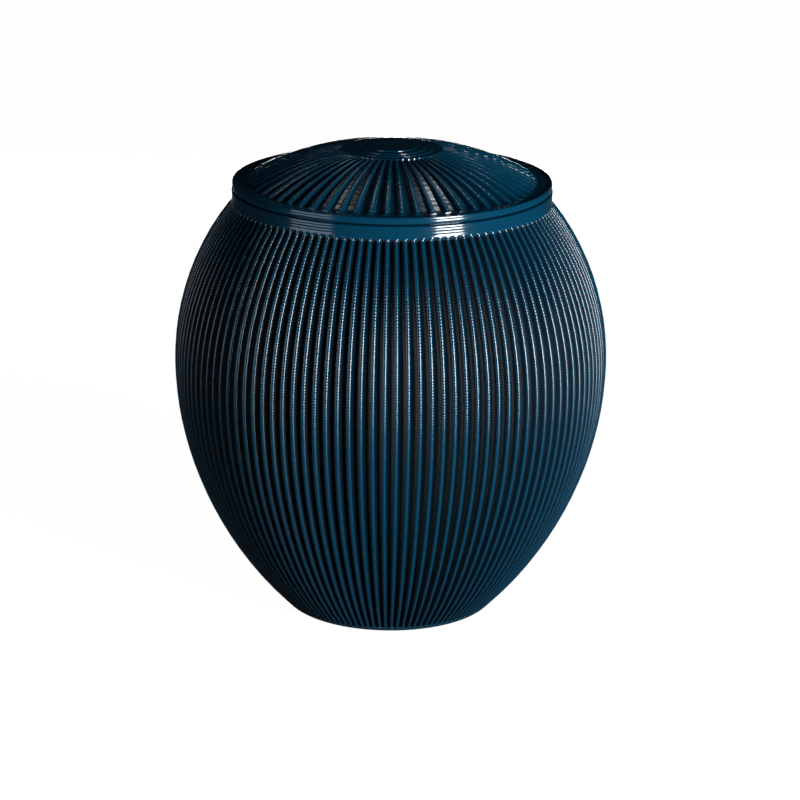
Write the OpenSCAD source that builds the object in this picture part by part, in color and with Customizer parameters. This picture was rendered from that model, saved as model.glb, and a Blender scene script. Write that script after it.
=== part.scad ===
// Ribbed funeral urn: an ovoid vessel with a smooth collar, and a domed lift-off lid.
// Millimetres, +Z up, origin at the middle of the underside.

/* [Vessel] */
// Outer radius at the widest point, over the ribs
belly_r = 95.8; // [90:0.1:100]
// Height of the widest point
belly_z = 112.5; // [110:0.5:115]
// Radius of the arc from the widest point up to the collar
shoulder_arc = 112; // [110:0.5:114]
// Radius of the arc just below the widest point
belly_arc = 145; // [140:1:150]
// Radius of the long arc down to the foot
flank_arc = 165; // [160:1:170]
// Thickness of the wall, measured from the crest of a rib
wall = 4.5; // [3.6:0.1:5]
// Thickness of the floor
floor_t = 4; // [3:0.5:6]
// Radius of the flat underside
foot_r = 46.3; // [45:0.1:46.6]

/* [Collar] */
// Outer radius of the smooth collar
collar_r = 70; // [69:0.1:71]
// Height of the collar's top edge
collar_top = 189.8; // [188:0.1:191]
// Radius of the mouth
mouth_r = 65.5; // [65:0.1:66]
// Drop from the top edge to where the collar starts to flare
collar_drop = 3.7; // [3:0.1:4.5]

/* [Vessel ribs] */
// Number of ribs around the vessel
rib_count = 120; // [60:1:120]
// Share of each rib pitch that is groove
groove_share = 0.55; // [0.35:0.05:0.6]
// Depth of the grooves below the crests
groove_depth = 2.5; // [1:0.1:2.8]
// Height at which the grooves begin above the plain foot
groove_low = 2.5; // [1.5:0.1:4]
// Height at which the grooves end below the collar
groove_top = 184.1; // [183:0.1:185]

/* [Lid] */
// Outer radius of the lid
lid_r = 69.85; // [69:0.05:70.5]
// Height of the lid's outer band
band_h = 2.85; // [2:0.05:4]
// Height of the shadow gap between the band and the collar
gap_h = 0.85; // [0.5:0.05:1.2]
// Depth of the shadow gap, inwards from the band
gap_depth = 3.4; // [1:0.1:3.6]
// Width of the low lip around the ledge
lip_w = 1; // [0.6:0.1:2]
// Drop from the lip to the ledge
ledge_drop = 0.6; // [0.2:0.1:0.8]
// Gap between the locating ring and the mouth
plug_gap = 0.5; // [0.3:0.1:0.8]
// Thickness of the locating ring
plug_wall = 2.5; // [1.5:0.1:3]
// Depth of the locating ring below the collar's top edge
plug_depth = 6; // [4:0.5:6.5]
// Thickness of the dome between its ribs
dome_t = 2.6; // [2:0.1:3]

/* [Lid ribs] */
// Number of ribs around the dome
lid_rib_count = 60; // [30:1:60]
// Share of each rib pitch that is rib
lid_rib_share = 0.43; // [0.3:0.01:0.6]
// Radius at which the ribs end on the ledge
lid_rib_end = 63.4; // [62:0.1:64]
// Turn of the lid in its seat, in degrees
lid_turn = -2.15; // [-3:0.05:3]

/* [Cap] */
// Radius of the low round cap in the middle of the lid
cap_r = 20.9; // [18:0.1:23]
// Width of the plain ring around the cap
cap_rim = 1; // [0.8:0.1:2]
// Height of the ring, flush with the ends of the ribs
ring_top = 207.4; // [207:0.1:208]
// Number of low terraces that step up to the middle of the cap
cap_steps = 3; // [2:1:6]
// Height of one terrace
cap_step = 0.3; // [0.2:0.05:0.4]

/* [Hidden] */
$fn = 180;
petrol_blue = "#0d3b56";

// Lean at which the belly arc hands over to the flank arc.
flank_lean = 16;
// The arcs are drawn as straight runs, so that every turned face is a plain cone.
flank_steps = 6;
belly_steps = 3;
shoulder_steps = 8;
dome_steps = 5;

rib_pitch = 360 / rib_count;
groove_angle = rib_pitch * groove_share;
lid_rib_pitch = 360 / lid_rib_count;
lid_rib_angle = lid_rib_pitch * lid_rib_share;
reach = belly_r + 20;

// Fall of the short cone that flares from the collar out to the shoulder.
flare_fall = 3.9;

// Height of the low bevel that rounds the foot.
foot_rise = 1;

// Crest and valley arcs of the dome, and how far their centres stand off the axis.
crest_arc = 111.5;
crest_offset = 8.7;
valley_arc = 108.3;
valley_offset = 5.8;
rib_rise_at_ring = 0.9;

band_bottom = collar_top + gap_h;
band_top = band_bottom + band_h;
ledge_z = band_top - ledge_drop;
plug_r = mouth_r - plug_gap;
ring_r = cap_r + cap_rim;

// Points along an arc about a centre, from one angle to another.
function arc_points(centre, arc, from, to, steps) =
    [for (i = [0 : steps]) let (a = from + (to - from) * i / steps) centre + arc * [cos(a), sin(a)]];

// The ovoid's outline from one height to another, brought inwards by inset all over.
function ovoid_points(inset, z_from, z_to) =
    let (
        flank_centre = [
            belly_r - belly_arc - (flank_arc - belly_arc) * cos(flank_lean),
            belly_z + (flank_arc - belly_arc) * sin(flank_lean)
        ],
        foot_angle = asin((z_from - flank_centre[1]) / (flank_arc - inset)),
        neck_angle = asin((z_to - belly_z) / (shoulder_arc - inset)),
        flank = arc_points(flank_centre, flank_arc - inset, foot_angle, -flank_lean, flank_steps),
        belly = arc_points([belly_r - belly_arc, belly_z], belly_arc - inset, -flank_lean, 0, belly_steps),
        shoulder = arc_points([belly_r - shoulder_arc, belly_z], shoulder_arc - inset, 0, neck_angle, shoulder_steps)
    )
    concat(
        flank,
        [for (i = [1 : belly_steps]) belly[i]],
        [for (i = [1 : shoulder_steps]) shoulder[i]]
    );

// Height of a dome arc's centre when the arc passes through a given point.
function centre_z(arc, offset, r, z) = z - sqrt(pow(arc, 2) - pow(r - offset, 2));

crest_z = centre_z(crest_arc, crest_offset, cap_r, ring_top);
valley_z = centre_z(valley_arc, valley_offset, cap_r, ring_top - rib_rise_at_ring);

function reversed(list) = [for (i = [len(list) - 1 : -1 : 0]) list[i]];

// Outline of the vessel before its grooves are cut: outside, collar, mouth, then inside.
module vessel_outline() {
    flare_top = collar_top - collar_drop;
    polygon(concat(
        [[0, 0], [foot_r, 0]],
        ovoid_points(0, foot_rise, flare_top - flare_fall),
        [
            [collar_r, flare_top],
            [collar_r, collar_top],
            [mouth_r, collar_top],
            [mouth_r, flare_top - 2.5]
        ],
        reversed(ovoid_points(wall, floor_t, flare_top - flare_fall + 0.4)),
        [[0, floor_t]]
    ));
}

// One groove: everything outside the groove floor, in a narrow wedge.
module groove() {
    rotate([0, 0, -groove_angle / 2])
        rotate_extrude(angle = groove_angle)
            difference() {
                translate([foot_r - 8, groove_low]) square([reach - foot_r + 8, groove_top - groove_low]);
                polygon(concat(
                    [[0, groove_low - 1]],
                    ovoid_points(groove_depth, groove_low - 1, groove_top + 1),
                    [[0, groove_top + 1]]
                ));
            }
}

module vessel() {
    color(petrol_blue)
        difference() {
            rotate_extrude() vessel_outline();
            for (i = [0 : rib_count - 1])
                rotate([0, 0, i * rib_pitch]) groove();
        }
}

// Points along one of the dome's arcs, from one radius to another.
function dome_points(arc, offset, z, r_from, r_to) =
    arc_points([offset, z], arc, 90 - asin((r_from - offset) / arc), 90 - asin((r_to - offset) / arc), dome_steps);

// Terraces that step up over the cap and widen towards its middle, from the ring inwards.
function cap_points() = [
    for (i = [1 : cap_steps], edge = [-1, 0])
        [cap_r * sqrt(1 - i / (cap_steps + 1)), ring_top + (i + edge) * cap_step]
];

// Outline of the lid between its ribs: locating ring, seat, band, ledge, dome, cap, then inside.
module lid_outline() {
    hollow_r = plug_r - plug_wall;
    seat_r = lid_r - gap_depth;
    lip_r = lid_r - lip_w;
    plug_z = collar_top - plug_depth;
    valley_end = valley_offset + sqrt(pow(valley_arc, 2) - pow(ledge_z - valley_z, 2));
    polygon(concat(
        [
            [hollow_r, plug_z],
            [plug_r, plug_z],
            [plug_r, collar_top],
            [seat_r, collar_top],
            [seat_r, band_bottom],
            [lid_r, band_bottom],
            [lid_r, band_top],
            [lip_r, band_top],
            [lip_r, ledge_z]
        ],
        dome_points(valley_arc, valley_offset, valley_z, valley_end, ring_r),
        dome_points(crest_arc, crest_offset, crest_z, ring_r, cap_r),
        cap_points(),
        [[0, ring_top + cap_steps * cap_step]],
        dome_points(valley_arc - dome_t, valley_offset, valley_z, 0, hollow_r)
    ));
}

// One rib of the dome: a wedge between the crest arc and the middle of the dome's thickness.
module lid_rib() {
    rib_start = ring_r - 0.4;
    rotate([0, 0, -lid_rib_angle / 2])
        rotate_extrude(angle = lid_rib_angle)
            polygon(concat(
                dome_points(crest_arc, crest_offset, crest_z, rib_start, lid_rib_end),
                reversed(dome_points(valley_arc - dome_t / 2, valley_offset, valley_z, rib_start, lid_rib_end))
            ));
}

module lid() {
    color(petrol_blue) {
        rotate_extrude() lid_outline();
        for (i = [0 : lid_rib_count - 1])
            rotate([0, 0, lid_turn + i * lid_rib_pitch]) lid_rib();
    }
}

vessel();
lid();
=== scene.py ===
"""A ribbed funeral urn in petrol-blue printed plastic: a hollow vessel and a domed lid that lifts off.

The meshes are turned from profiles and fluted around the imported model. Lengths are in metres, +Z up,
with the origin at the middle of the underside.
"""

import math

import bmesh
import bpy
from bpy.props import FloatProperty, FloatVectorProperty, IntProperty, PointerProperty
from mathutils import Matrix, Vector


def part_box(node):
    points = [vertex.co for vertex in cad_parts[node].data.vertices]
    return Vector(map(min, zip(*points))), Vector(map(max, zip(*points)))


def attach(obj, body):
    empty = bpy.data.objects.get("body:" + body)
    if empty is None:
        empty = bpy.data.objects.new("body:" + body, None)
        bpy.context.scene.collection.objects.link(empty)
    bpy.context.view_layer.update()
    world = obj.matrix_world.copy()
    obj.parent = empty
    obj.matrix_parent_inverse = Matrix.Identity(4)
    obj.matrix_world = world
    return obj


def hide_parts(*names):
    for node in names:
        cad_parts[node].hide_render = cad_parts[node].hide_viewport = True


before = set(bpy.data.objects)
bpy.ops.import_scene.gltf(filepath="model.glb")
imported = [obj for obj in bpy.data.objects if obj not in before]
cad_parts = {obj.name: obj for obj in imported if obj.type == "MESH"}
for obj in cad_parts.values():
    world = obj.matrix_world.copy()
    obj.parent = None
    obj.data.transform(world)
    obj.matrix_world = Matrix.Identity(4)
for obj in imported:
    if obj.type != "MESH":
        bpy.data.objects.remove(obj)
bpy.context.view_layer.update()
VESSEL_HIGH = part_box("vessel")[1]
LID_LOW, LID_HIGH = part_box("lid")

bl_info = {
    "name": "Ribbed Funeral Urn",
    "version": (1, 0, 0),
    "blender": (4, 5, 0),
    "location": "3D View > Sidebar > Urn",
    "description": "Builds a ribbed urn and its lift-off lid around a packed frame",
    "category": "Add Mesh",
}

MM = 0.001
# Mesh steps around the small rounded edges
ROUND_STEPS = 3


# ---------------------------------------------------------------- settings

def length(name, description, default):
    """A length in millimetres, kept in metres."""
    return FloatProperty(
        name=name, description=description, default=default * MM, min=0.0, precision=5,
        subtype="DISTANCE", unit="LENGTH",
    )


def count(name, description, default):
    """A whole number, two or more."""
    return IntProperty(name=name, description=description, default=default, min=2)


def share(name, description, default):
    """A number from 0 to 1."""
    return FloatProperty(
        name=name, description=description, default=default, min=0.0, max=1.0, subtype="FACTOR",
    )


def turn(name, description, default):
    """An angle in degrees, kept in radians."""
    return FloatProperty(
        name=name, description=description, default=math.radians(default), subtype="ANGLE", unit="ROTATION",
    )


def colour(name, description, default):
    """A linear colour."""
    return FloatVectorProperty(
        name=name, description=description, default=default, size=3, min=0.0, max=1.0, subtype="COLOR",
    )


class UrnVesselSettings(bpy.types.PropertyGroup):
    """Sizes of the vessel."""

    belly_r: length("Belly radius", "Radius at the widest point, over the ribs", VESSEL_HIGH.x / MM)
    belly_z: length("Belly height", "Height of the widest point", 112.5)
    shoulder_arc: length("Shoulder arc", "Radius of the arc from the belly up to the collar", 112)
    belly_arc: length("Belly arc", "Radius of the arc just below the widest point", 145)
    flank_arc: length("Flank arc", "Radius of the long arc down to the foot", 165)
    flank_lean: turn("Flank lean", "Lean at which the belly arc hands over to the flank arc", 16)
    wall: length("Wall", "Thickness of the wall, measured from a rib's crest", 4.5)
    floor_t: length("Floor", "Thickness of the floor", 4)
    foot_r: length("Foot radius", "Radius of the flat underside", 46.3)
    foot_rise: length("Foot rise", "Height of the rounding at the foot", 1)
    collar_r: length("Collar radius", "Outer radius of the smooth collar", 70)
    collar_top: length("Collar top", "Height of the collar's top edge", VESSEL_HIGH.z / MM)
    collar_drop: length("Collar drop", "Drop from the top edge to where the cove begins", 3.7)
    collar_flare: length("Collar flare", "How far the collar widens towards its top edge", 0.15)
    collar_straight: length("Collar straight", "How far up the collar begins to widen", 1.6)
    cove_arc: length("Cove", "Radius of the hollow curve under the collar", 6)
    cove_fall: length("Cove fall", "Drop from the top of the cove to the shoulder", 3.7)
    mouth_r: length("Mouth radius", "Radius of the mouth", 65.5)
    mouth_drop: length("Mouth drop", "Drop from the top of the cove to where the inside widens", 3.5)
    mouth_bevel: length("Mouth bevel", "Height of the slope from the mouth to the wider inside", 1)
    edge: length("Edge", "Rounding of the collar's edges", 0.35)
    ribs: count("Ribs", "Number of ribs around the vessel", 120)
    columns: count("Columns", "Mesh columns in one rib and its groove", 12)
    rib_share: share("Rib share", "Share of each pitch that is rib", 0.45)
    groove_depth: length("Groove depth", "Depth of the grooves below the crests", 2.5)
    groove_low: length("Groove foot", "Height at which the grooves begin above the plain foot", 2.5)
    # Painted shade: depth share from which the groove mask darkens the plastic's colour fully, and dulls
    # its gloss
    painted_shade_and_dull_from: share("Dark from", "Share of its depth from which a groove is fully dark", 0.5)
    rows: count("Rows", "Mesh rows from the foot to the collar", 28)
    cove_rows: count("Cove rows", "Mesh rows up the cove", 9)
    inner_rows: count("Inner rows", "Mesh rows down the inside", 12)


class UrnLidSettings(bpy.types.PropertyGroup):
    """Sizes of the lid."""

    lid_r: length("Lid radius", "Outer radius of the lid's band", LID_HIGH.x / MM)
    ring_top: length("Ring top", "Height of the ring around the cap, flush with the ribs", 207.4)
    ring_low: length("Locating ring low", "Height of the locating ring's lower edge", LID_LOW.z / MM)
    ring_r: length("Locating ring radius", "Outer radius of the locating ring", 65)
    ring_t: length("Locating ring thickness", "Thickness of the locating ring", 2.5)
    band_h: length("Band height", "Height of the lid's outer band", 2.85)
    gap_h: length("Gap height", "Height of the shadow gap over the collar", 0.85)
    gap_depth: length("Gap depth", "Depth of the shadow gap", 3.4)
    lip_w: length("Lip width", "Width of the low lip around the ledge", 1)
    ledge_drop: length("Ledge drop", "Drop from the lip to the ledge", 0.6)
    edge: length("Edge", "Rounding of the band's edges", 0.3)
    dome_t: length("Dome thickness", "Thickness of the dome between its ribs", 2.6)
    crest_arc: length("Crest arc", "Radius of the arc along a rib's crest", 111.5)
    crest_offset: length("Crest offset", "How far the crest arc's centre stands off the axis", 8.7)
    valley_arc: length("Valley arc", "Radius of the arc along a valley", 108.3)
    valley_offset: length("Valley offset", "How far the valley arc's centre stands off the axis", 5.8)
    rise: length("Rise at the ring", "Height of the ribs over the valleys at the ring", 0.9)
    ribs: count("Ribs", "Number of ribs around the dome", 60)
    columns: count("Columns", "Mesh columns in one rib and its valley", 16)
    rib_in: length("Inner rib width", "Width of a rib at the ring", 1.1)
    rib_out: length("Outer rib width", "Width of a rib at the ledge", 2.6)
    rib_end: length("Rib end", "Radius at which the ribs end on the ledge", 63.4)
    seat_turn: turn("Turn", "Turn of the lid in its seat", -2.15)
    cap_r: length("Cap radius", "Radius of the low round cap", 20.9)
    cap_rim: length("Cap rim", "Width of the plain ring around the cap", 1)
    steps: count("Terraces", "Terraces that step up to the middle of the cap", 3)
    step: length("Terrace height", "Height of one terrace", 0.3)
    bevel: length("Bevel", "Bevel on the terraces and the lip", 0.1)
    # Painted shade: how much of the grooves' painted darkening the lid's valleys take
    valley_painted_shade: share("Valley shade", "How dark the valleys are against the vessel's grooves", 0.2)
    rows: count("Rows", "Mesh rows across the dome", 14)
    inner_rows: count("Inner rows", "Mesh rows across the underside", 7)


class UrnFinishSettings(bpy.types.PropertyGroup):
    """Colour and surface of the plastic."""

    plastic: colour("Plastic", "Colour of the petrol-blue plastic", (0.0002, 0.043, 0.088))
    layer: length("Layer", "Spacing of the visible layer lines", 1.25)
    roughness: share("Roughness", "Roughness of the glossy surface", 0.15)
    drift: share("Gloss drift", "How far the roughness wanders from place to place", 0.03)
    tone_drift: share("Tone drift", "How far the colour wanders from layer to layer", 0.15)
    relief: length("Relief", "Height of the layer lines", 0.04)
    unevenness: share("Unevenness", "How uneven the layer lines are", 0.6)
    # Painted shade: the plastic's colour deep in a groove is darkened to this share, standing in for the
    # shade the ribs cast
    groove_painted_shade: share("Groove shade", "Brightness of the plastic deep in a groove", 0.08)
    groove_roughness: share("Groove roughness", "Roughness deep in a groove", 0.4)
    sheen: share("Sheen", "Strength of the silky reflection", 0.8)
    stretch: share("Stretch", "How far the printed layers stretch a highlight up and down", 0.8)


class UrnStageSettings(bpy.types.PropertyGroup):
    """Camera, floor and room light."""

    lens: FloatProperty(name="Lens", description="Focal length in mm", default=125.3, min=1.0)
    aim_z: length("Aim height", "Height on the axis that the camera looks at", 92.12)
    distance: length("Distance", "Distance from the camera to the aim point", 1247.1)
    elevation: turn("Elevation", "How far the camera stands above the horizontal", 17.84)
    roll: turn("Roll", "Roll of the camera", 0.5)
    shift: FloatProperty(name="Shift", description="Sideways shift of the view", default=0.01214)
    floor_size: length("Floor", "Width of the floor", 8000)
    floor_grey: share("Floor grey", "Share of the light that the floor gives back", 0.1)
    floor_glow: share("Floor glow", "Brightness of the floor as the camera sees it", 0.98)
    room_light: share("Room light", "Brightness of the room as the urn sees it", 0.004)
    lamp_z: length("Lamp aim", "Height on the axis that the lamps are aimed at", 120)


# ---------------------------------------------------------------- turned and fluted meshes

def spaced(start, end, steps):
    """Evenly spaced values from start to end, both included."""
    return [start + (end - start) * i / steps for i in range(steps + 1)]


def arc(centre, radius, start, end, steps):
    """Points along an arc in the profile plane, from one angle to another."""
    angles = spaced(start, end, steps)
    return [(centre[0] + radius * math.cos(a), centre[1] + radius * math.sin(a)) for a in angles]


def turned_pitch(profile, size):
    """One pitch of a shell turned from a profile of (radius, height) points.

    The layers keep each vertex's row in the profile, and how deep in a groove it lies, which the material
    uses as a mask for painted shade and duller gloss.
    """
    bm = bmesh.new()
    row = bm.verts.layers.int.new("row")
    bm.verts.layers.float.new("depth")
    chain = [bm.verts.new((radius, 0.0, height)) for radius, height in profile]
    for i, vertex in enumerate(chain):
        vertex[row] = i
    edges = [bm.edges.new(pair) for pair in zip(chain, chain[1:])]
    pitch = math.tau / size.ribs
    bmesh.ops.spin(
        bm, geom=chain + edges, cent=(0, 0, 0), axis=(0, 0, 1), angle=pitch, steps=size.columns,
    )
    return bm, row


def repeat_pitch(bm, ribs):
    """Copies the one pitch all the way round."""
    geometry = bm.verts[:] + bm.edges[:] + bm.faces[:]
    angle = math.tau * (ribs - 1) / ribs
    bmesh.ops.spin(
        bm, geom=geometry, cent=(0, 0, 0), axis=(0, 0, 1), angle=angle, steps=ribs - 1, use_duplicate=True,
    )


def rib_place(vertex, size, half_width, depth, radius, flank=0):
    """Where a vertex goes around the urn, and how far it drops below the crest.

    The rib is half-round, half_width is an angle, and the columns run from the middle of one groove to
    the middle of the next. With flank 1 the rib has a straight side and the groove a flat floor, and
    with flank 0 the groove is a V.
    """
    pitch = math.tau / size.ribs
    from_crest = round(math.atan2(vertex.co.y, vertex.co.x) / pitch * size.columns) - size.columns // 2
    reach = size.columns // 2 - 1 - flank
    if abs(from_crest) > reach + flank:
        return pitch * (0.5 + math.copysign(0.5, from_crest)), depth
    if abs(from_crest) > reach:
        side_lean = 0.02 * pitch
        return pitch / 2 + math.copysign(half_width + side_lean, from_crest), depth
    angle = math.pi / 2 * from_crest / reach
    round_depth = min(depth, half_width * radius)
    return pitch / 2 + half_width * math.sin(angle), round_depth * (1 - math.cos(angle))


def set_place(vertex, azimuth, radius, height):
    """Puts a vertex at an azimuth, a radius and a height."""
    vertex.co = (radius * math.cos(azimuth), radius * math.sin(azimuth), height)


def finished(bm, name, node, slot, finish):
    """Closes the shell, points its faces outwards, and stands it in for its CAD node."""
    weld = 0.001 * MM
    bmesh.ops.remove_doubles(bm, verts=bm.verts, dist=weld)
    bmesh.ops.recalc_face_normals(bm, faces=bm.faces)
    for face in bm.faces:
        face.smooth = True
    sharp = math.radians(38)
    for edge in bm.edges:
        edge.smooth = edge.calc_face_angle(0.0) < sharp
    bm.verts.layers.int.remove(bm.verts.layers.int["row"])
    mesh = bpy.data.meshes.new(name)
    bm.to_mesh(mesh)
    bm.free()
    mesh.materials.append(plastic(finish, slot))
    piece = bpy.data.objects.new(name, mesh)
    bpy.context.scene.collection.objects.link(piece)
    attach(piece, "root")
    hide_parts(node)


# ---------------------------------------------------------------- the vessel's shape

def ovoid_radius(size, height, inset=0.0):
    """Radius of the ovoid at one height, brought in all over by inset."""
    lean = size.flank_lean
    step = size.flank_arc - size.belly_arc
    if height >= size.belly_z:
        radius, centre = size.shoulder_arc, (size.belly_r - size.shoulder_arc, size.belly_z)
    elif height >= size.belly_z - (size.belly_arc - inset) * math.sin(lean):
        radius, centre = size.belly_arc, (size.belly_r - size.belly_arc, size.belly_z)
    else:
        radius = size.flank_arc
        centre = (
            size.belly_r - size.belly_arc - step * math.cos(lean),
            size.belly_z + step * math.sin(lean),
        )
    return centre[0] + math.sqrt((radius - inset) ** 2 - (height - centre[1]) ** 2)


def vessel_profile(size):
    """Outline of the vessel as (radius, height, floor radius of a groove or None)."""
    def fluted(radius, height):
        return radius, height, min(radius, ovoid_radius(size, height, size.groove_depth))

    def fading(point, share_left):
        radius, height = point
        return radius, height, radius - size.groove_depth * share_left

    def plain(points):
        return [(radius, height, None) for radius, height in points]

    # Underside, kept flat by a ring just inside its edge, and the rounding at the foot
    foot_ring = 3 * MM
    foot_round = (0.0, 0.45, 0.8)
    foot_end = ovoid_radius(size, size.foot_rise)
    rows = plain([(0.0, 0.0), (size.foot_r / 2, 0.0), (size.foot_r - foot_ring, 0.0)])
    for part in foot_round:
        radius = size.foot_r + (foot_end - size.foot_r) * part
        rows += plain([(radius, size.foot_rise * part * part)])

    # Plain foot, which ends in a crisp step at the lower ends of the grooves
    crisp = 0.08 * MM
    foot_heights = spaced(size.foot_rise, size.groove_low - crisp, 2)
    rows += plain([(ovoid_radius(size, z), z) for z in foot_heights])

    # Grooved flank, and the cove where the grooves run out
    cove_top = size.collar_top - size.collar_drop
    cove_centre = (size.collar_r + size.cove_arc, cove_top)
    neck_lean = math.asin((cove_top - size.cove_fall - size.belly_z) / size.shoulder_arc)
    cove = arc(cove_centre, size.cove_arc, math.pi + neck_lean, math.pi, size.cove_rows)
    deep = 2
    fade = (0.8, 0.45, 0.25, 0.1)
    faded = deep + len(fade)
    flank_heights = spaced(size.groove_low + crisp, cove[0][1], size.rows)[:-1]
    rows += [fluted(ovoid_radius(size, z), z) for z in flank_heights]
    rows += [fluted(*point) for point in cove[:deep]]
    rows += [fading(point, left) for point, left in zip(cove[deep:faded], fade)]
    rows += plain(cove[faded:])

    # Collar and its two rounded edges
    edge = size.edge
    lip_r = size.collar_r + size.collar_flare
    rows += plain([(size.collar_r, cove_top + size.collar_straight)])
    rows += plain(arc((lip_r - edge, size.collar_top - edge), edge, 0, math.pi / 2, ROUND_STEPS))
    rows += plain(arc((size.mouth_r + edge, size.collar_top - edge), edge, math.pi / 2, math.pi, 2))

    # Inside, down to the floor
    inner_top = cove_top - size.mouth_drop
    rows += plain([(size.mouth_r, inner_top + size.mouth_bevel)])
    inner_heights = spaced(inner_top, size.floor_t, size.inner_rows)
    rows += plain([(ovoid_radius(size, z, size.wall), z) for z in inner_heights])
    rows += plain([(size.foot_r / 2, size.floor_t), (0.0, size.floor_t)])
    return rows


def flute_vessel(bm, row, rows, size):
    """Presses the grooves in level by level, which leaves rounded ribs between them, and marks how deep
    each vertex lies for the painted groove shade.
    """
    half_width = math.pi * size.rib_share / size.ribs
    layer = bm.verts.layers.float["depth"]
    for vertex in bm.verts:
        radius, height, floor = rows[vertex[row]]
        if floor is None:
            continue
        azimuth, drop = rib_place(vertex, size, half_width, radius - floor, radius)
        set_place(vertex, azimuth, radius - drop, height)
        # Painted shade mask: how deep in a groove the vertex lies, which darkens the colour where the ribs
        # shade the groove, and dulls the gloss
        vertex[layer] = min(1.0, drop / (size.groove_depth * size.painted_shade_and_dull_from))


class MESH_OT_urn_vessel(bpy.types.Operator):
    """Turn the hollow ovoid vessel and press its grooves in"""

    bl_idname = "mesh.urn_vessel"
    bl_label = "Vessel"

    def execute(self, context):
        size = context.scene.urn_vessel
        rows = vessel_profile(size)
        bm, row = turned_pitch([(radius, height) for radius, height, _ in rows], size)
        flute_vessel(bm, row, rows, size)
        repeat_pitch(bm, size.ribs)
        finished(bm, "urn_vessel", "vessel", "vessel_plastic", context.scene.urn_finish)
        return {"FINISHED"}


# ---------------------------------------------------------------- the lid's shape

class Dome:
    """Heights of the lid's crests and valleys at any radius."""

    def __init__(self, size):
        self.size = size
        self.ledge = VESSEL_HIGH.z + size.gap_h + size.band_h - size.ledge_drop
        self.crest_z = self.centre(size.crest_arc, size.crest_offset, size.ring_top)
        self.valley_z = self.centre(size.valley_arc, size.valley_offset, size.ring_top - size.rise)

    def centre(self, radius, offset, height):
        """Height of an arc's centre when the arc passes over the cap's edge at a given height."""
        return height - math.sqrt(radius ** 2 - (self.size.cap_r - offset) ** 2)

    def crest(self, radius):
        """Height along the top of a rib."""
        size = self.size
        if radius > size.rib_end:
            return self.ledge
        return self.crest_z + math.sqrt(size.crest_arc ** 2 - (radius - size.crest_offset) ** 2)

    def valley(self, radius, inset=0.0):
        """Height along a valley, or along the dome's underside when an inset is given."""
        size = self.size
        out = radius - size.valley_offset
        height = self.valley_z + math.sqrt((size.valley_arc - inset) ** 2 - out ** 2)
        return height if inset else max(self.ledge, height)

    def valley_end(self):
        """Radius at which the valleys run out on the ledge."""
        size = self.size
        return size.valley_offset + math.sqrt(size.valley_arc ** 2 - (self.ledge - self.valley_z) ** 2)


def lid_profile(size, dome):
    """Outline of the lid as (radius, height in the valleys, height on the crests)."""
    def plain(points):
        return [(radius, height, height) for radius, height in points]

    ledge = dome.ledge
    band_top = ledge + size.ledge_drop
    band_low = band_top - size.band_h
    seat_z = band_low - size.gap_h
    seat_r = size.lid_r - size.gap_depth
    lip_r = size.lid_r - size.lip_w
    hollow_r = size.ring_r - size.ring_t
    edge = size.edge
    bevel = size.bevel

    # Cap, from its middle outwards
    rows = plain([(0.0, size.ring_top + size.steps * size.step)])
    for i in reversed(range(size.steps)):
        radius = size.cap_r * math.sqrt(1 - (i + 1) / (size.steps + 1))
        high = size.ring_top + (i + 1) * size.step
        rows += plain([
            (radius - bevel, high),
            (radius, high - bevel),
            (radius, high - size.step),
        ])
    rows += plain([(size.cap_r, size.ring_top)])

    # Dome, where the valleys drop away just outside the ring
    rim = size.cap_r + size.cap_rim
    valley_start = rim + 0.12 * MM
    next_row = rim + 0.6 * MM
    valley_end = dome.valley_end()
    rows += plain([(rim, dome.crest(rim))])
    rows.append((valley_start, dome.valley(rim), dome.crest(rim)))
    for radius in spaced(next_row, valley_end, size.rows):
        rows.append((radius, dome.valley(radius), dome.crest(radius)))
    for radius in spaced(valley_end, size.rib_end, 2)[1:]:
        rows.append((radius, ledge, dome.crest(radius)))

    # Ledge, lip and band
    rib_foot = size.rib_end + 0.04 * MM
    lip_lean = 0.05 * MM
    rows += plain([
        (rib_foot, ledge),
        (lip_r - bevel, ledge),
        (lip_r, ledge + bevel),
        (lip_r + lip_lean, band_top - bevel),
        (lip_r + lip_lean + bevel, band_top),
    ])
    band_edge_r = size.lid_r - edge
    upper = arc((band_edge_r, band_top - edge), edge, 0, math.pi / 2, ROUND_STEPS)
    lower = arc((band_edge_r, band_low + edge), edge, -math.pi / 2, 0, ROUND_STEPS)
    rows += plain(reversed(upper))
    rows += plain(reversed(lower))

    # Shadow gap, seat, locating ring and underside
    rows += plain([
        (seat_r, band_low),
        (seat_r, seat_z),
        (size.ring_r, seat_z),
        (size.ring_r, size.ring_low + edge),
        (size.ring_r - edge, size.ring_low),
        (hollow_r, size.ring_low),
        (hollow_r, dome.valley(hollow_r, size.dome_t)),
    ])
    under = spaced(hollow_r, 0.0, size.inner_rows)[1:]
    rows += plain([(radius, dome.valley(radius, size.dome_t)) for radius in under])
    return rows


def flute_lid(bm, row, rows, size, dome):
    """Raises the rounded ribs of the dome out of its valleys, and marks the valleys for a lighter painted
    shade.
    """
    rim = size.cap_r + size.cap_rim
    layer = bm.verts.layers.float["depth"]
    level = 0.0001 * MM
    for vertex in bm.verts:
        radius, valley, crest = rows[vertex[row]]
        if crest - valley < level:
            continue
        along = (radius - rim) / (size.rib_end - rim)
        width = size.rib_in + (size.rib_out - size.rib_in) * along
        azimuth, drop = rib_place(vertex, size, width / 2 / radius, crest - valley, radius, flank=1)
        set_place(vertex, azimuth, radius, crest - drop)
        # Painted shade: the valleys take a share of the groove darkening, standing in for the dim light
        # that falls on them
        vertex[layer] = drop / (crest - valley) * size.valley_painted_shade


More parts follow.
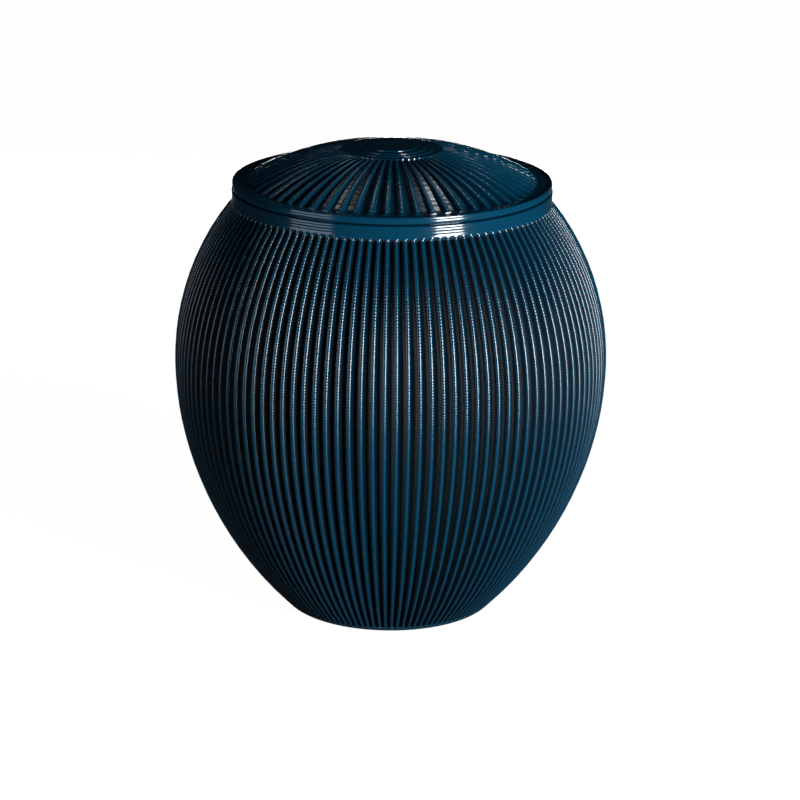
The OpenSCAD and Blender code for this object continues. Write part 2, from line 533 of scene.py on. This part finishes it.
class MESH_OT_urn_lid(bpy.types.Operator):
    """Turn the domed lid with its cap, band and locating ring, and raise its ribs"""

    bl_idname = "mesh.urn_lid"
    bl_label = "Lid"

    def execute(self, context):
        size = context.scene.urn_lid
        dome = Dome(size)
        rows = lid_profile(size, dome)
        bm, row = turned_pitch([(radius, low) for radius, low, _ in rows], size)
        flute_lid(bm, row, rows, size, dome)
        repeat_pitch(bm, size.ribs)
        first_crest = math.pi / size.ribs
        seat = Matrix.Rotation(size.seat_turn - first_crest, 3, "Z")
        bmesh.ops.transform(bm, matrix=seat.to_4x4(), verts=bm.verts)
        finished(bm, "urn_lid", "lid", "lid_plastic", context.scene.urn_finish)
        return {"FINISHED"}


# ---------------------------------------------------------------- finish

def math_node(tree, operation, first, second=None):
    """A Math node; each operand is a socket or a number."""
    node = tree.nodes.new("ShaderNodeMath")
    node.operation = operation
    for socket, value in zip(node.inputs, (first, second)):
        if isinstance(value, bpy.types.NodeSocket):
            tree.links.new(value, socket)
        elif value is not None:
            socket.default_value = value
    return node.outputs[0]


def layer_lines_group():
    """Level printed layers: their ripple in height, and how their tone and gloss drift."""
    group = bpy.data.node_groups.get("Layer lines")
    if group:
        return group
    group = bpy.data.node_groups.new("Layer lines", "ShaderNodeTree")
    for name in ("Layer", "Unevenness"):
        group.interface.new_socket(name=name, in_out="INPUT", socket_type="NodeSocketFloat")
    for name in ("Height", "Tone", "Gloss"):
        group.interface.new_socket(name=name, in_out="OUTPUT", socket_type="NodeSocketFloat")
    nodes, links = group.nodes, group.links
    inside = nodes.new("NodeGroupInput")
    outside = nodes.new("NodeGroupOutput")
    coordinates = nodes.new("ShaderNodeTexCoord")
    split = nodes.new("ShaderNodeSeparateXYZ")
    links.new(coordinates.outputs["Object"], split.inputs[0])
    level = math_node(group, "DIVIDE", split.outputs["Z"], inside.outputs["Layer"])
    ripple = math_node(group, "SINE", math_node(group, "MULTIPLY", level, math.tau))
    ripple_share = 0.7
    ripple = math_node(group, "MULTIPLY", ripple, ripple_share)

    # Tone drifts from one layer to another, over about three layers
    drift_per_layer = 0.35
    bands = nodes.new("ShaderNodeTexNoise")
    bands.noise_dimensions = "1D"
    bands.inputs["Scale"].default_value = drift_per_layer
    bands.inputs["Detail"].default_value = 3.0
    links.new(level, bands.inputs["W"])

    # Gloss drifts in blobs about 11 mm across and a tenth as tall
    blobs_per_metre = (90.0, 90.0, 900.0)
    flat = nodes.new("ShaderNodeMapping")
    flat.inputs["Scale"].default_value = blobs_per_metre
    links.new(coordinates.outputs["Object"], flat.inputs["Vector"])
    blobs = nodes.new("ShaderNodeTexNoise")
    blobs.inputs["Scale"].default_value = 1.0
    blobs.inputs["Detail"].default_value = 4.0
    links.new(flat.outputs["Vector"], blobs.inputs["Vector"])

    uneven = math_node(group, "ADD", bands.outputs["Fac"], blobs.outputs["Fac"])
    uneven = math_node(group, "MULTIPLY", uneven, inside.outputs["Unevenness"])
    links.new(math_node(group, "ADD", ripple, uneven), outside.inputs["Height"])
    links.new(bands.outputs["Fac"], outside.inputs["Tone"])
    links.new(blobs.outputs["Fac"], outside.inputs["Gloss"])
    return group


def scaled(rgb, factor):
    """A colour made brighter or darker, as a shader socket takes it."""
    return [channel * factor for channel in rgb] + [1.0]


def plastic(finish, slot):
    """Glossy petrol-blue plastic with level printed layers, with painted shade deep in the grooves, where
    it is also duller.
    """
    material = bpy.data.materials.new(slot)
    material.use_nodes = True
    tree = material.node_tree
    shader = tree.nodes["Principled BSDF"]
    lines = tree.nodes.new("ShaderNodeGroup")
    lines.node_tree = layer_lines_group()
    lines.inputs["Layer"].default_value = finish.layer
    lines.inputs["Unevenness"].default_value = finish.unevenness

    tone = tree.nodes.new("ShaderNodeMix")
    tone.data_type = "RGBA"
    tone.inputs["A"].default_value = scaled(finish.plastic, 1 - finish.tone_drift)
    tone.inputs["B"].default_value = scaled(finish.plastic, 1 + finish.tone_drift)
    tree.links.new(lines.outputs["Tone"], tone.inputs["Factor"])
    # Painted shade mask: the depth attribute, high deep in the grooves and valleys
    hollow = tree.nodes.new("ShaderNodeAttribute")
    hollow.attribute_name = "depth"
    # Painted shade: the colour is darkened deep in the grooves, where the ribs shade them
    shade = tree.nodes.new("ShaderNodeMix")
    shade.data_type = "RGBA"
    shade.inputs["B"].default_value = scaled(finish.plastic, finish.groove_painted_shade)
    tree.links.new(hollow.outputs["Fac"], shade.inputs["Factor"])
    tree.links.new(tone.outputs["Result"], shade.inputs["A"])
    tree.links.new(shade.outputs["Result"], shader.inputs["Base Color"])

    noise_low, noise_high = 0.3, 0.7
    gloss = tree.nodes.new("ShaderNodeMapRange")
    gloss.inputs["From Min"].default_value = noise_low
    gloss.inputs["From Max"].default_value = noise_high
    gloss.inputs["To Min"].default_value = finish.roughness - finish.drift
    gloss.inputs["To Max"].default_value = finish.roughness + finish.drift
    tree.links.new(lines.outputs["Gloss"], gloss.inputs["Value"])
    dull = tree.nodes.new("ShaderNodeMix")
    dull.inputs["B"].default_value = finish.groove_roughness
    tree.links.new(hollow.outputs["Fac"], dull.inputs["Factor"])
    tree.links.new(gloss.outputs["Result"], dull.inputs["A"])
    tree.links.new(dull.outputs["Result"], shader.inputs["Roughness"])

    bump = tree.nodes.new("ShaderNodeBump")
    bump.inputs["Strength"].default_value = 1.0
    bump.inputs["Distance"].default_value = finish.relief
    tree.links.new(lines.outputs["Height"], bump.inputs["Height"])
    tree.links.new(bump.outputs["Normal"], shader.inputs["Normal"])

    shader.inputs["Specular IOR Level"].default_value = finish.sheen
    shader.inputs["Anisotropic"].default_value = finish.stretch
    quarter_turn = 0.25
    shader.inputs["Anisotropic Rotation"].default_value = quarter_turn
    return material


# ---------------------------------------------------------------- stage

def camera_rays_white(tree, shader_socket, strength):
    """Adds plain white light that only the camera sees to a shader."""
    path = tree.nodes.new("ShaderNodeLightPath")
    glow = tree.nodes.new("ShaderNodeEmission")
    seen = math_node(tree, "MULTIPLY", path.outputs["Is Camera Ray"], strength)
    tree.links.new(seen, glow.inputs["Strength"])
    both = tree.nodes.new("ShaderNodeAddShader")
    tree.links.new(shader_socket, both.inputs[0])
    tree.links.new(glow.outputs[0], both.inputs[1])
    return both.outputs[0]


def floor_material(stage):
    """A matt floor that the camera sees as pale, and that keeps the urn's shadow."""
    material = bpy.data.materials.new("pale_floor")
    material.use_nodes = True
    tree = material.node_tree
    tree.nodes.remove(tree.nodes["Principled BSDF"])
    diffuse = tree.nodes.new("ShaderNodeBsdfDiffuse")
    grey = stage.floor_grey
    diffuse.inputs["Color"].default_value = (grey, grey, grey, 1.0)
    output = tree.nodes["Material Output"]
    glowing = camera_rays_white(tree, diffuse.outputs[0], stage.floor_glow)
    tree.links.new(glowing, output.inputs["Surface"])
    return material


def make_floor(stage):
    bm = bmesh.new()
    bmesh.ops.create_grid(bm, x_segments=1, y_segments=1, size=stage.floor_size / 2)
    mesh = bpy.data.meshes.new("floor")
    bm.to_mesh(mesh)
    bm.free()
    mesh.materials.append(floor_material(stage))
    floor = bpy.data.objects.new("floor", mesh)
    bpy.context.scene.collection.objects.link(floor)


def aimed(place, target):
    """A turn that points -Z from place to target, with +Y up."""
    return (Vector(target) - Vector(place)).to_track_quat("-Z", "Y").to_matrix().to_4x4()


def around(azimuth, elevation, distance, centre):
    """A place seen from the centre: azimuth 0 is the front, positive to the right."""
    side = math.radians(azimuth)
    rise = math.radians(elevation)
    direction = Vector((math.sin(side) * math.cos(rise), -math.cos(side) * math.cos(rise), math.sin(rise)))
    return Vector(centre) + distance * direction


def softbox(name, target, azimuth, elevation, distance, width, height, radiance):
    """A rectangular lamp of a given brightness, aimed at the urn: angles in degrees, sizes in metres."""
    lamp = bpy.data.lights.new(name, "AREA")
    lamp.shape = "RECTANGLE"
    lamp.size = width
    lamp.size_y = height
    lamp.energy = radiance * math.pi * width * height
    box = bpy.data.objects.new(name, lamp)
    place = around(azimuth, elevation, distance, target)
    box.matrix_world = Matrix.Translation(place) @ aimed(place, target)
    bpy.context.scene.collection.objects.link(box)


def make_camera(stage):
    data = bpy.data.cameras.new("camera")
    data.lens = stage.lens
    data.sensor_width = 36
    data.shift_x = stage.shift
    camera = bpy.data.objects.new("camera", data)
    aim = Vector((0, 0, stage.aim_z))
    place = around(0, math.degrees(stage.elevation), stage.distance, aim)
    roll = Matrix.Rotation(stage.roll, 4, "Z")
    camera.matrix_world = Matrix.Translation(place) @ aimed(place, aim) @ roll
    bpy.context.scene.collection.objects.link(camera)
    bpy.context.scene.camera = camera


def make_world(stage):
    """A room that is white to the camera and almost dark to the urn."""
    world = bpy.data.worlds.new("studio")
    world.use_nodes = True
    tree = world.node_tree
    back = tree.nodes["Background"]
    path = tree.nodes.new("ShaderNodeLightPath")
    strength = math_node(tree, "MAXIMUM", path.outputs["Is Camera Ray"], stage.room_light)
    tree.links.new(strength, back.inputs["Strength"])
    back.inputs["Color"].default_value = (1, 1, 1, 1)
    bpy.context.scene.world = world


LAMPS = {
    "right box": dict(azimuth=39.5, elevation=3, distance=1.1, width=0.36, height=0.66, radiance=31),
    "left box": dict(azimuth=-57, elevation=3, distance=1.1, width=0.62, height=0.66, radiance=1.8),
    "rear": dict(azimuth=180, elevation=-2.5, distance=0.9, width=0.5, height=0.15, radiance=16),
    "back right": dict(azimuth=157, elevation=61, distance=1.0, width=0.05, height=0.16, radiance=14),
    "back left": dict(azimuth=-152, elevation=61, distance=1.0, width=0.08, height=0.16, radiance=3),
}


class SCENE_OT_urn_stage(bpy.types.Operator):
    """Set the camera, the pale floor and the soft studio lights"""

    bl_idname = "scene.urn_stage"
    bl_label = "Stage"

    def execute(self, context):
        stage = context.scene.urn_stage
        make_camera(stage)
        make_floor(stage)
        make_world(stage)
        for name, lamp in LAMPS.items():
            softbox(name, (0, 0, stage.lamp_z), **lamp)
        context.scene.view_settings.view_transform = "Standard"
        return {"FINISHED"}


# ---------------------------------------------------------------- panel and main

class VIEW3D_PT_urn(bpy.types.Panel):
    """Builders for the urn's pieces and its stage"""

    bl_label = "Ribbed Urn"
    bl_idname = "VIEW3D_PT_urn"
    bl_space_type = "VIEW_3D"
    bl_region_type = "UI"
    bl_category = "Urn"

    def draw(self, context):
        for settings, (_, operators) in SECTIONS.items():
            box = self.layout.box()
            group = getattr(context.scene, settings)
            for name in group.bl_rna.properties.keys():
                if name not in ("rna_type", "name"):
                    box.prop(group, name)
            for operator in operators:
                box.operator(operator)


SECTIONS = {
    "urn_finish": (UrnFinishSettings, []),
    "urn_vessel": (UrnVesselSettings, ["mesh.urn_vessel"]),
    "urn_lid": (UrnLidSettings, ["mesh.urn_lid"]),
    "urn_stage": (UrnStageSettings, ["scene.urn_stage"]),
}
SETTINGS = {name: group for name, (group, _) in SECTIONS.items()}
CLASSES = [*SETTINGS.values(), MESH_OT_urn_vessel, MESH_OT_urn_lid, SCENE_OT_urn_stage, VIEW3D_PT_urn]


def register():
    for cls in CLASSES:
        bpy.utils.register_class(cls)
    for name, group in SETTINGS.items():
        setattr(bpy.types.Scene, name, PointerProperty(type=group))


def unregister():
    for name in SETTINGS:
        delattr(bpy.types.Scene, name)
    for cls in reversed(CLASSES):
        bpy.utils.unregister_class(cls)


def main():
    register()
    bpy.ops.scene.urn_stage()
    bpy.ops.mesh.urn_vessel()
    bpy.ops.mesh.urn_lid()


if __name__ == "__main__":
    main()
